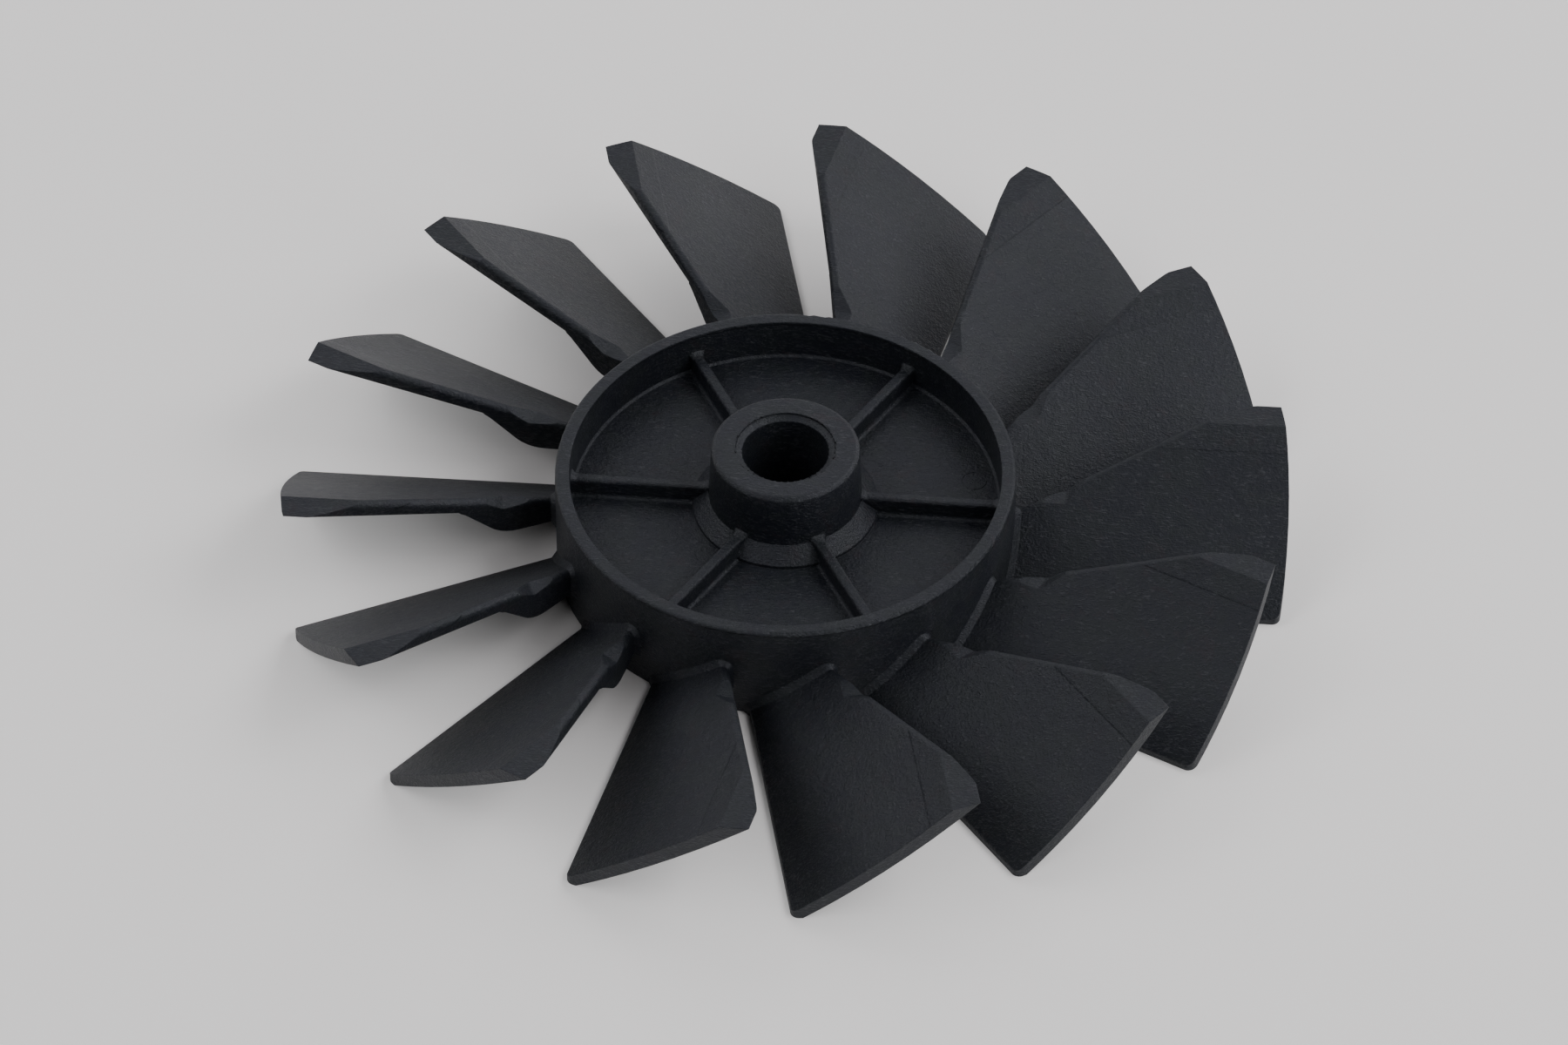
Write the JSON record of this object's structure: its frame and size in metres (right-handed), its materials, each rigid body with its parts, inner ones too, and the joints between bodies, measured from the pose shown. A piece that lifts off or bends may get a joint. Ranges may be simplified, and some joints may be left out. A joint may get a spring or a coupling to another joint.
{
  "type": "axial fan impeller",
  "caption": "Moulded black plastic axial fan impeller: a cup-shaped hub with ribs, a raised bored boss and slanted flat blades that step down at their roots.",
  "frame": {"origin": "the axis of rotation at the plane that the hub's lower rim and the blades' trailing edges rest on", "axes": "+Z along the axis of rotation, towards the boss; +X along the first stiffening rib"},
  "size_m": [0.14, 0.14, 0.02],
  "materials": {
    "impeller": "matt moulded, fine grain, glass-fibre mottling"
  },
  "bodies": {
    "root": {"impeller": "impeller"}
  },
  "joints": []
}
